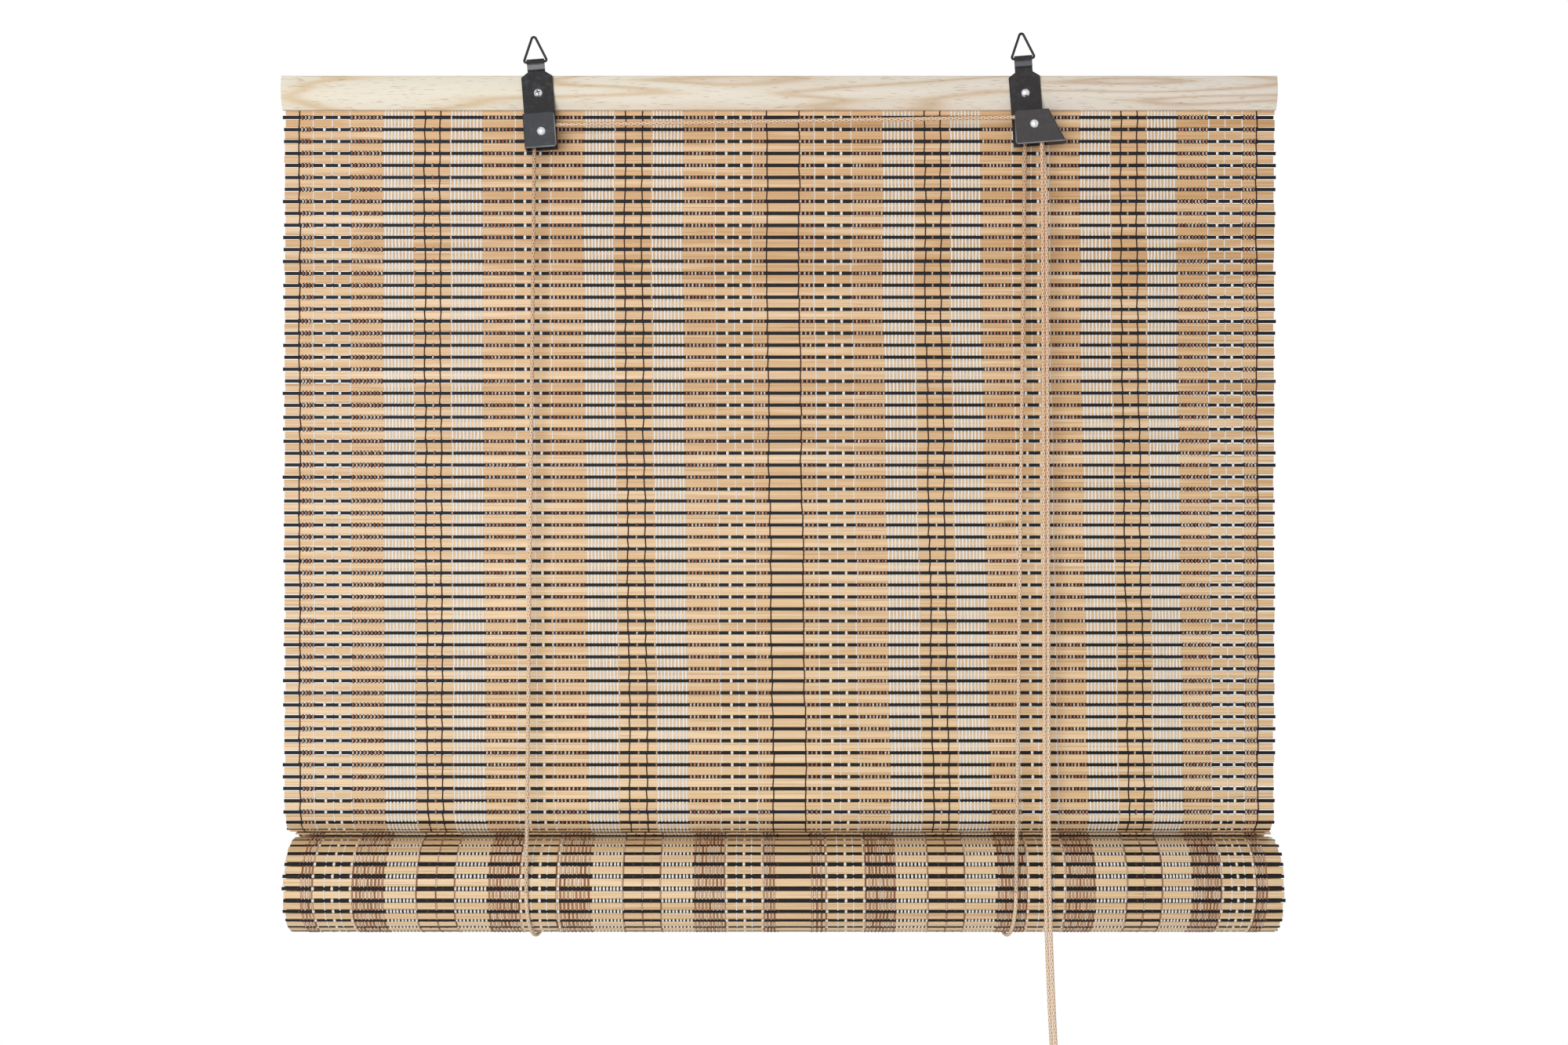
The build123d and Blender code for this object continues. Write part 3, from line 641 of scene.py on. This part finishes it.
# Mat: threads
# White and brown cotton threads weave the bars together, some over each slat and some over each
# stick, in bands that mirror about the middle. The back, which the roll shows, is the reverse.
brown_over_slats = (-387.3, -286.1, -274.0, -124.7, -110.8, -10.1,
                    15.8, 117.7, 130.4, 275.9, 288.6, 385.2)
white_over_slats = (-375.9, -360.8, -346.5, -213.3, -198.7, -184.2, -51.3, -37.0, -22.5,
                    28.5, 43.7, 58.2, 188.6, 203.5, 217.7, 346.2, 359.5, 373.4)
white_over_sticks = (-367.1, -355.1, -205.1, -193.0, -43.0, -31.0,
                     37.3, 50.0, 197.5, 208.9, 353.8, 365.2)
brown_over_sticks = (-294.9, -279.7, -265.2, -132.9, -117.7, -103.2,
                     108.9, 123.7, 138.0, 267.7, 281.6, 296.2)
brown_bands = ((-384.8, -376.6, 4), (-344.9, -321.5, 9), (-238.0, -214.6, 9), (-185.4, -160.1, 9),
               (-75.9, -52.5, 9), (-21.5, -13.3, 4), (17.1, 27.9, 4), (59.5, 82.3, 9),
               (165.2, 187.3, 9), (218.7, 241.1, 9), (322.8, 344.9, 9), (375.3, 383.5, 4))
white_bands = ((-318.3, -296.2, 9), (-264.5, -241.1, 9), (-156.3, -134.2, 9), (-101.9, -79.1, 9),
               (84.8, 108.2, 9), (139.2, 161.4, 9), (244.0, 266.8, 9), (297.5, 319.3, 9))


def spread(bands):
    """The threads of each band, evenly across it."""
    return [first + (last - first) * k / (count - 1)
            for first, last, count in bands for k in range(count)]


# Each column is (x in millimetres, 0 where it passes in front of the slats and 1 of the sticks).
columns = {
    "white_line": [(x, 0) for x in white_over_slats] + [(x, 1) for x in white_over_sticks],
    "white_band": [(x, 0) for x in spread(white_bands)],
    "copper_line": [(x, 1) for x in brown_over_sticks],
    "copper_band": [(x, 1) for x in spread(brown_bands)],
    "brown_line": [(x, 0) for x in brown_over_slats]}


def stitch_of(name, edge, rings):
    """A length of thread that passes in front of one bar: rings of (z, y, width, thickness)."""
    verts, faces = [], []
    for z, y, width, thickness in rings:
        verts += [(-width / 2, y + thickness / 2, z), (width / 2, y + thickness / 2, z),
                  (0, y - thickness / 2, z)]
    for k in range(0, 3 * len(rings) - 3, 3):
        faces += [(k + a, k + b, k + b + 3, k + a + 3) for a, b in ((0, 1), (1, 2), (2, 0))]
    last = 3 * len(rings) - 3
    faces += [(2, 1, 0), (last, last + 1, last + 2)]
    piece = unit_piece(name, verts, faces)
    # Each point's edge value is how much painted shade it gets: the given amount at the base corners, none
    # at the crown, full at both ends.
    depth = [edge, edge, 0.0] * len(rings)
    depth[:3] = depth[-3:] = [1.0, 1.0, 1.0]
    piece.data.attributes.new("edge", "FLOAT", "POINT").data.foreach_set("value", depth)
    return piece


slat_face, stick_face = slat_thickness / 2, stick_thickness / 2
# A thread lies flat over a slat and is tucked in beside it. Over a stick it stands up as a bead.
slat_reach, tuck_run, thread_lie = bar_pitch / 2 - 1.0 * mm, 0.4 * mm, 0.16 * mm
thread_width, thread_thickness = 1.2 * mm, 0.4 * mm
tucked_width, tucked_thickness = 0.8 * mm, 0.5 * mm
bead_width, bead_thickness, bead_rise = 1.85 * mm, 0.44 * mm, 0.25 * mm
bead_reach, bead_crown = 1.9 * mm, 0.9 * mm
slat_stitch = stitch_of("slat_stitch", 1.0, (
    (slat_reach, 0, tucked_width, tucked_thickness),
    (slat_reach - tuck_run, -slat_face - thread_lie, thread_width, thread_thickness),
    (tuck_run - slat_reach, -slat_face - thread_lie, thread_width, thread_thickness),
    (-slat_reach, 0, tucked_width, tucked_thickness)))
stick_stitch = stitch_of("stick_stitch", 0.36, (
    (bead_reach, 0, thread_width, tucked_thickness),
    (bead_crown, -stick_face - bead_rise, bead_width, bead_thickness),
    (-bead_crown, -stick_face - bead_rise, bead_width, bead_thickness),
    (-bead_reach, 0, thread_width, tucked_thickness)))

weave_tree, given = new_tree("weave_threads", ("Slat stitch", "Object"), ("Stick stitch", "Object"),
                             ("Finish", "Material"), ("Wander", "Float"), ("Lean", "Float"),
                             ("Slat girth", "Float"), ("Stick girth", "Float"), ("Seed", "Int"))
wander = either_way(weave_tree, given["Wander"], given["Seed"])
moved = add_node(weave_tree, "GeometryNodeSetPosition",
                 {"Geometry": given["Geometry"], "Offset": vector(weave_tree, wander, 0.0, 0.0)})
lean = either_way(weave_tree, given["Lean"], later_seed(weave_tree, given["Seed"], 1))
over_stick = maths(weave_tree, "GREATER_THAN", point_value(weave_tree, "over_stick"), 0.5)
sewn = add_node(weave_tree, "GeometryNodeJoinGeometry")
over_slat = maths(weave_tree, "SUBTRACT", 1.0, over_stick)
for label, girth, chosen in (("Slat stitch", "Slat girth", over_slat),
                             ("Stick stitch", "Stick girth", over_stick)):
    stitches = add_node(weave_tree, "GeometryNodeInstanceOnPoints",
                        {"Points": moved.outputs[0], "Selection": chosen,
                         "Instance": shape_of(weave_tree, given[label]),
                         "Rotation": vector(weave_tree, point_value(weave_tree, "turn"), lean, 0.0),
                         "Scale": vector(weave_tree, given[girth], 1.0, 1.0)})
    weave_tree.links.new(stitches.outputs[0], sewn.inputs[0])
shaded = add_node(weave_tree, "GeometryNodeStoreNamedAttribute",
                  {"Geometry": sewn.outputs[0], "Name": "shade",
                   "Value": chance(weave_tree, 0.0, 1.0, given["Seed"])},
                  data_type="FLOAT", domain="INSTANCE")
end_tree(weave_tree, shaded.outputs[0], given["Finish"])


def cotton(name, deep, middle, pale, edge_shade_tone, edge_start, edge_share):
    """Spun cotton: matt, with fine fibres across, and painted shade along a stitch's edges and ends."""
    material, tree, shader = new_finish(name, roughness=0.85)
    twist = noise(tree, stretched(tree, (900, 900, 1500)), detail=2.0)
    thread = ramp(tree, attribute(tree, "shade"), (0.0, deep), (0.5, middle), (1.0, pale))
    thread = mix(tree, ramp(tree, twist, (0.35, grey(0.4)), (0.6, grey(0))), thread, deep)
    painted_edge_shade = ramp(tree, attribute(tree, "edge"), (edge_start, grey(0)),
               (edge_start + 0.28, grey(edge_share)))
    paint(shader, base_color=mix(tree, painted_edge_shade, thread, edge_shade_tone), normal=bump(tree, twist, 0.4, 0.0002))
    return material


white_cotton = cotton("white_cotton", tone(236, 233, 226), tone(245, 243, 238), tone(251, 250, 247),
                      tone(150, 140, 127), 0.5, 0.7)
copper_cotton = cotton("copper_cotton", tone(150, 92, 64), tone(216, 170, 140), tone(252, 234, 216),
                       tone(62, 31, 20), 0.38, 0.95)
brown_cotton = cotton("brown_cotton", tone(50, 27, 20), tone(68, 38, 28), tone(92, 54, 40),
                      tone(36, 18, 13), 0.42, 0.6)
# Each kind of thread: finish, how far a stitch strays and leans, girth over slats and over sticks.
thread_kinds = {"white_line": (white_cotton, 0.25 * mm, 0.03, 1.05, 1.05),
                "white_band": (white_cotton, 0.2 * mm, 0.05, 1.5, 0.86),
                "copper_line": (copper_cotton, 0.3 * mm, 0.03, 1.2, 0.62),
                "copper_band": (copper_cotton, 0.22 * mm, 0.04, 1.45, 0.68),
                "brown_line": (brown_cotton, 0.45 * mm, 0.1, 1.05, 0.8)}
pairs_in_sight = 26
sewn_roll_bars = roll_bars[:2 * pairs_in_sight]


# The columns stray to the right going down, most of all right of the middle, and sway a little.
drift_top_z, drift_height = -190 * mm, 425 * mm
most_drift, drift_tilt, mat_end_x = 5.7, 0.0017, 400
sway, sway_height, sway_width = 0.4, 24 * mm, 90


def thread_drift(x, z):
    """How far right a column has strayed at this height, in millimetres as its x is."""
    fall = min(max((drift_top_z - z) / drift_height, 0.0), 1.0)
    strayed = fall * most_drift * (1 + drift_tilt * x) * (1 - (x / mat_end_x) ** 4)
    return strayed + sway * math.sin(z / sway_height + x / sway_width)


for number, (strip, (bars, shift, _)) in enumerate(strips.items()):
    sewn_bars = sewn_roll_bars if strip == "roll" else bars
    for label, (finish, wander, lean, slat_girth, stick_girth) in thread_kinds.items():
        places, turns, kinds = [], [], []
        for kind, y, z, turn in sewn_bars:
            for x, front_kind in columns[label]:
                places.append((shift + (x + thread_drift(x, z)) * mm, y, z))
                turns.append(turn if kind == front_kind else turn + math.pi)
                kinds.append(float(kind))
        piece = grown(f"{strip}_{label}_threads", weave_tree,
                      points_mesh(places, turn=turns, over_stick=kinds),
                      slat_stitch=slat_stitch, stick_stitch=stick_stitch, finish=finish,
                      wander=wander, lean=lean, slat_girth=slat_girth, stick_girth=stick_girth,
                      seed=100 + 7 * number)
        fix_strip(piece, strip)
for unit in (slat_unit, rolled_slat_unit, stick_unit, slat_stitch, stick_stitch):
    bpy.data.objects.remove(unit)


# Lift cords
# Two braided cords in cream and copper brown. Each is stapled behind the headrail, goes
# down the back, round under the roll, up the front and over its pulley to the lock at the right.
cord_radius, cord_sides = 1.5 * mm, 10


def tube(name, line):
    """A round tube along a line; its UV map goes round it, and along it in metres."""
    line = [Vector(place) for place in line]
    verts, faces, along, run = [], [], [], 0.0
    side = Vector((1, 0, 0)) if abs((line[1] - line[0]).normalized().x) < 0.9 else Vector((0, 1, 0))
    for k, place in enumerate(line):
        ahead = (line[min(k + 1, len(line) - 1)] - line[max(k - 1, 0)]).normalized()
        side = (side - ahead * side.dot(ahead)).normalized()
        up = ahead.cross(side)
        for n in range(cord_sides):
            angle = 2 * math.pi * n / cord_sides
            verts.append(place + cord_radius * (math.cos(angle) * side + math.sin(angle) * up))
        run += (place - line[max(k - 1, 0)]).length
        along.append(run)
    corners = []
    for k in range(len(line) - 1):
        for n in range(cord_sides):
            after = (n + 1) % cord_sides
            faces.append((k * cord_sides + n, k * cord_sides + after,
                          (k + 1) * cord_sides + after, (k + 1) * cord_sides + n))
            corners += [(n / cord_sides, along[k]), ((n + 1) / cord_sides, along[k]),
                        ((n + 1) / cord_sides, along[k + 1]), (n / cord_sides, along[k + 1])]
    faces.append(tuple(reversed(range(cord_sides))))
    faces.append(tuple(range((len(line) - 1) * cord_sides, len(line) * cord_sides)))
    corners += [(n / cord_sides, 0.0) for n in reversed(range(cord_sides))]
    corners += [(n / cord_sides, run) for n in range(cord_sides)]
    mesh = bpy.data.meshes.new(name)
    mesh.from_pydata(verts, [], faces)
    wrap = mesh.uv_layers.new(name="UVMap")
    for loop, corner in zip(wrap.data, corners):
        loop.uv = corner
    mesh.polygons.foreach_set("use_smooth", [True] * len(faces))
    mesh.materials.append(braid)
    return in_scene(name, mesh)


braid, tree, shader = new_finish("braided_cord", roughness=0.7)
wrap = add_node(tree, "ShaderNodeTexCoord").outputs["UV"]
strands_round, strand_run = 4, 5.2 * mm
turned = times(tree, axis_of(tree, wrap, "X"), 2 * math.pi * strands_round)
passed = times(tree, axis_of(tree, wrap, "Y"), 2 * math.pi / strand_run)
right_hand = maths(tree, "SINE", maths(tree, "ADD", turned, passed))
left_hand = maths(tree, "SINE", maths(tree, "SUBTRACT", turned, passed))
plait = share(tree, maths(tree, "MAXIMUM", right_hand, left_hand), -0.6, 1.0)
tufts = add_node(tree, "ShaderNodeMapping", {"Vector": wrap, "Scale": (7, 420, 1)}).outputs[0]
fleck = noise(tree, tufts, detail=2.0)
# Painted light: the cord is painted paler lower down. Its colours follow the plait's height: the braid's
# own strands, with painted shade in the grooves and a painted highlight on the crowns.
lower = share(tree, axis_of(tree, own_place(tree), "Z"), -0.22, -0.6)
strand = mix(tree, lower,
             ramp(tree, plait, (0.0, tone(166, 114, 82)), (0.45, tone(224, 178, 140)),
                  (1.0, tone(250, 220, 188))),
             ramp(tree, plait, (0.0, tone(190, 142, 106)), (0.45, tone(240, 204, 168)),
                  (1.0, tone(252, 234, 208))))
strand = mix(tree, ramp(tree, fleck, (0.58, grey(0)), (0.72, grey(0.7))), strand,
             tone(247, 230, 208))
paint(shader, base_color=strand, normal=bump(tree, plait, 0.7, 0.0005))

sling_radius = 42.4037 * mm
sling_lean = math.radians(5.5)
back_y, back_top_z = 14.88 * mm, -38 * mm
front_y = -4.42 * mm
pulley_radius = 6.1 * mm
left_axle, right_axle = (-189.300 * mm, -77.686 * mm), (202.860 * mm, -71.767 * mm)
front_groove, back_groove = -6.87 * mm, -1.97 * mm
cord_seam, sling_steps = 0.2 * mm, 48
# Near the roll a back run keeps this far out at these angles, so that it clears the roll drawn up.
clear_places = ((math.radians(24.5), 1.4 * mm), (math.radians(15), 0.9 * mm))


def lift_cord(side, sling_x, axle, groove_y, hand):
    """One cord's sling under the roll and its straight runs, up the front and down the back."""
    across, reach = hand * math.sin(sling_lean), sling_radius / math.cos(sling_lean)
    rise_x, rise_z = axle[0] - pulley_radius, axle[1] - cord_seam

    def round_roll(angle):
        out = reach * math.cos(angle)
        return (sling_x + out * across, roll_y + out * math.cos(sling_lean),
                roll_z + reach * math.sin(angle))

    end_out = (back_y - roll_y) / math.cos(sling_lean)
    end_rise = back_top_z - roll_z
    leave = math.atan2(end_rise, end_out) - math.acos(reach / math.hypot(end_out, end_rise))
    sweep = math.pi + leave
    sling = tube(f"{side}_sling", [round_roll(math.pi + sweep * k / sling_steps)
                                   for k in range(sling_steps + 1)])
    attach(sling, "sling")
    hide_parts(f"{side}_cord_sling")

    foot = Vector(round_roll(math.pi))
    front = tube(f"{side}_front_run", [(rise_x, groove_y, rise_z), foot + Vector((0, 0, 2 * cord_seam))])
    drop = rise_z - foot.z
    back_foot = Vector(round_roll(math.pi + sweep))
    back_top = Vector((sling_x + end_out * across, back_y, back_top_z))
    back_drop = back_top_z - back_foot.z
    clear_line = [back_top]
    for angle, gap in clear_places:
        out = (reach + gap) * math.cos(angle)
        drop_when_up = back_top_z - (roll_z + lift + (reach + gap) * math.sin(angle))
        clear_line.append((sling_x + out * across, roll_y + out * math.cos(sling_lean),
                           back_top_z - drop_when_up / (1 - lift / back_drop)))
    back = tube(f"{side}_back_run", clear_line + [back_foot])
    for run, node, top, length in ((front, f"{side}_front_cord", rise_z, drop),
                                   (back, f"{side}_back_cord", back_top_z, back_drop)):
        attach(run, "blind")
        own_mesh(run)
        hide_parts(node)


lift_cord("left", -197.5 * mm, left_axle, front_y, 1)
lift_cord("right", 184.5 * mm, right_axle, back_groove, -1)


def over_pulley(axle, groove_y, first, last):
    """Places round a pulley between two angles from its side, 0 at the left and 180 at the right."""
    count = 12
    angles = [math.radians(first + (last - first) * k / count) for k in range(count + 1)]
    return [(axle[0] - pulley_radius * math.cos(angle), groove_y,
             axle[1] + pulley_radius * math.sin(angle)) for angle in angles]


for name, node, line in (
        ("cross_run", "cross_cord", over_pulley(left_axle, front_y, 0, 90)
         + over_pulley(right_axle, front_groove, 90, 180)),
        ("right_pulley_run", "right_pulley_cord", over_pulley(right_axle, back_groove, 0, 180))):
    piece = tube(name, line)
    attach(piece, "blind")
    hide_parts(node)


# Pull cords
# The two cords come out of the lock side by side and hang down. Their spare length is folded
# into two hanks side by side, held by a tie, and each cord ends in a knot inside its hank.
hank_x, hank_y, hank_middle_z = 219 * mm, -11 * mm, -874.2 * mm
hank_run, hank_pitch, hank_offset = 45 * mm, 3.2 * mm, 1.7 * mm
outer_fold, inner_fold = 12.2 * mm, 9 * mm
turns_in_layer, points_in_fold = 4, 8
# A spline passes inside its points, so a fold shrinks to this share of their radius.
fold_cut = 0.975
knot_radius, knot_swell, knot_twist, knot_stretch = 2.9 * mm, 0.08, 1.3, 1.1


def hank_points(first_x, hand):
    """Control points of the turns: outwards over the outer layer, then back inside it."""
    points = []
    half_turns = 2 * turns_in_layer
    for layer, radius in enumerate((outer_fold, inner_fold)):
        for half in range(half_turns - layer):
            for k in range(points_in_fold):
                swept = k / (points_in_fold - 1)
                passed = (half + 0.25 + 0.5 * swept) / 2
                if layer:
                    passed = turns_in_layer - passed
                angle = math.pi * swept
                front = -1 if half % 2 == 0 else 1
                points.append((first_x + hand * hank_pitch * passed,
                               hank_y + front * radius / fold_cut * math.cos(angle),
                               hank_middle_z + front * (hank_run / 2
                                                        + radius / fold_cut * math.sin(angle))))
    return points


def smooth_line(name, points):
    """The points of a smooth spline through a cord's route, as Blender divides it."""
    curve = bpy.data.curves.new(name, "CURVE")
    curve.dimensions = "3D"
    spline = curve.splines.new("NURBS")
    spline.points.add(len(points) - 1)
    for made, place in zip(spline.points, points):
        made.co = (*place, 1.0)
    spline.order_u = 3
    spline.use_endpoint_u = True
    spline.resolution_u = 6
    holder = in_scene(name, curve)
    bpy.context.view_layer.update()
    mesh = bpy.data.meshes.new_from_object(holder)
    line = [vertex.co.copy() for vertex in mesh.vertices]
    bpy.data.objects.remove(holder)
    bpy.data.meshes.remove(mesh)
    return line


def pull_cord(side, route, first_x, hand):
    """One cord from the lock down into its hank, with the knot at its end."""
    route = [(x * mm, y * mm, z * mm) for x, y, z in route]
    into_hank = [(first_x, -13.5 * mm, -822 * mm), (first_x, -18.5 * mm, -836 * mm)]
    out_of_hank = [(first_x + hand * 1.6 * mm, hank_y + y * mm, hank_middle_z + z * mm)
                   for y, z in ((7.5, -8), (2.5, 3), (0, 10))]
    line = smooth_line(f"{side}_pull_line",
                       route + into_hank + hank_points(first_x, hand) + out_of_hank)
    cord = tube(f"{side}_pull_run", line)
    edit = bmesh.new()
    bmesh.ops.create_icosphere(edit, subdivisions=3, radius=knot_radius)
    for vertex in edit.verts:
        round_angle = math.atan2(vertex.co.y, vertex.co.x)
        swell = 1 + knot_swell * math.sin(3 * round_angle + vertex.co.z / mm * knot_twist)
        vertex.co = line[-1] + Vector((vertex.co.x * swell, vertex.co.y * swell,
                                       vertex.co.z * knot_stretch))
    knot_mesh = bpy.data.meshes.new(f"{side}_end_knot")
    edit.to_mesh(knot_mesh)
    edit.free()
    knot_mesh.polygons.foreach_set("use_smooth", [True] * len(knot_mesh.polygons))
    knot_mesh.materials.append(knot_finish)
    knot = in_scene(f"{side}_end_knot", knot_mesh)
    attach(knot, "pull_end")
    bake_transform(cord)
    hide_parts(f"{side}_pull_cord", f"{side}_cord_hank")


knot_finish, tree, shader = new_finish("knotted_cord", roughness=0.75)
wound_fibre = noise(tree, stretched(tree, (500, 500, 900)), detail=3.0)
paint(shader, base_color=ramp(tree, wound_fibre, (0.35, tone(112, 70, 50)), (0.5, tone(170, 116, 84)),
                              (0.68, tone(236, 214, 190))),
      normal=bump(tree, wound_fibre, 0.5, 0.0004))

pull_cord("left", ((208.96, -6.87, -71.967), (209.2, -8.7, -98), (209.4, -9.9, -125),
                   (210.6, -10.2, -400), (211.0, -10.2, -640), (212.2, -10.6, -715), (216.0, -10.9, -800)),
          hank_x - hank_offset, -1)
pull_cord("right", ((208.96, -1.97, -71.967), (211.4, -6.4, -98), (212.6, -9.9, -125),
                    (214.0, -10.2, -400), (214.4, -10.2, -640), (215.6, -10.6, -715), (219.4, -10.9, -800)),
          hank_x + hank_offset, 1)

# The tie is a flat cotton tape, sewn into a loop round both hanks.
tie_low, tie_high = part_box("hank_tie")
tie_middle, tie_half = (tie_low + tie_high) / 2, (tie_high - tie_low) / 2
tie_edge, tie_wall, selvedge_pull = 3 * mm, 0.9 * mm, 0.25 * mm
corner_steps = 6
edit = bmesh.new()
loops = []
for inset in (0.0, tie_wall):
    for height, pull in ((0.0, selvedge_pull), (0.12, 0.0), (0.88, 0.0), (1.0, selvedge_pull)):
        ring = []
        drawn_in = inset + (pull if inset == 0 else -pull * 0.2)
        half_x, half_y = tie_half.x - drawn_in, tie_half.y - drawn_in
        edge = tie_edge - inset
        for corner, (sign_x, sign_y) in enumerate(((1, 1), (-1, 1), (-1, -1), (1, -1))):
            for k in range(corner_steps + 1):
                angle = math.pi / 2 * (corner + k / corner_steps)
                ring.append(edit.verts.new((
                    tie_middle.x + sign_x * (half_x - edge) + edge * math.cos(angle),
                    tie_middle.y + sign_y * (half_y - edge) + edge * math.sin(angle),
                    tie_low.z + (tie_high.z - tie_low.z) * height)))
        loops.append(ring)
order = [0, 1, 2, 3, 7, 6, 5, 4, 0]
for first, second in zip(order, order[1:]):
    count = len(loops[0])
    for k in range(count):
        edit.faces.new((loops[first][k], loops[first][(k + 1) % count],
                        loops[second][(k + 1) % count], loops[second][k])).smooth = True
bmesh.ops.recalc_face_normals(edit, faces=edit.faces)
tie_mesh = bpy.data.meshes.new("hank_tape")
edit.to_mesh(tie_mesh)
edit.free()
tape, tree, shader = new_finish("cotton_tape", roughness=0.85)
weft = add_node(tree, "ShaderNodeTexWave",
                {"Vector": stretched(tree, (900, 900, 900)), "Scale": 0.8, "Distortion": 0.6},
                bands_direction="Z").outputs["Fac"]
weave = noise(tree, stretched(tree, (700, 700, 700)), detail=2.0)
yarn = ramp(tree, weave, (0.3, tone(222, 206, 182)), (0.7, tone(238, 226, 206)))
paint(shader, base_color=mix(tree, times(tree, weft, 0.5), yarn, tone(196, 174, 146)),
      normal=bump(tree, weft, 0.4, 0.0002))
tie_mesh.materials.append(tape)
tie = in_scene("hank_tape", tie_mesh)
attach(tie, "pull_end")
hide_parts("hank_tie")
